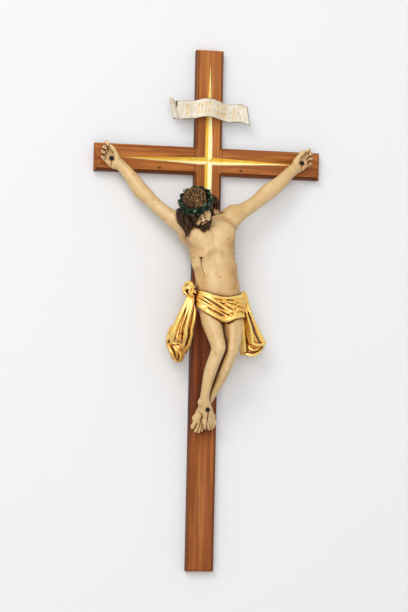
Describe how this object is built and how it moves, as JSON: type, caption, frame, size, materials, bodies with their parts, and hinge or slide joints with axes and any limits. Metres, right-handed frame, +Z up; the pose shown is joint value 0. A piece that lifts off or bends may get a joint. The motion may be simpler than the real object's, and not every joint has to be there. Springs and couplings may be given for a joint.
{
  "type": "wooden crucifix",
  "caption": "Wall crucifix: chamfered half-lapped timber cross with gilded grooves, a carved painted figure with gilded loincloth, braided wreath, waved title board and nails.",
  "frame": {"origin": "centre of the crossing on the flat back plane that lies on the wall", "axes": "+Z up along the post, +X to the viewer's right, +Y into the wall (the front faces -Y)"},
  "size_m": [0.55, 0.173, 1.25],
  "materials": {
    "timber": "stained and satin varnished softwood, gilded grooves",
    "board_paint": "white painted wood, gold strokes",
    "flesh_paint": "painted and glazed carved wood; the loincloth is gilded, the hair is brown",
    "wreath_paint": "glossy dark green paint",
    "nail_iron": "blackened iron"
  },
  "bodies": {
    "root": {"post": "timber", "crossbar": "timber", "scroll": "board_paint", "corpus": "flesh_paint", "crown_of_thorns": "wreath_paint", "nail_right_hand": "nail_iron", "nail_left_hand": "nail_iron", "nail_feet": "nail_iron"}
  },
  "joints": []
}
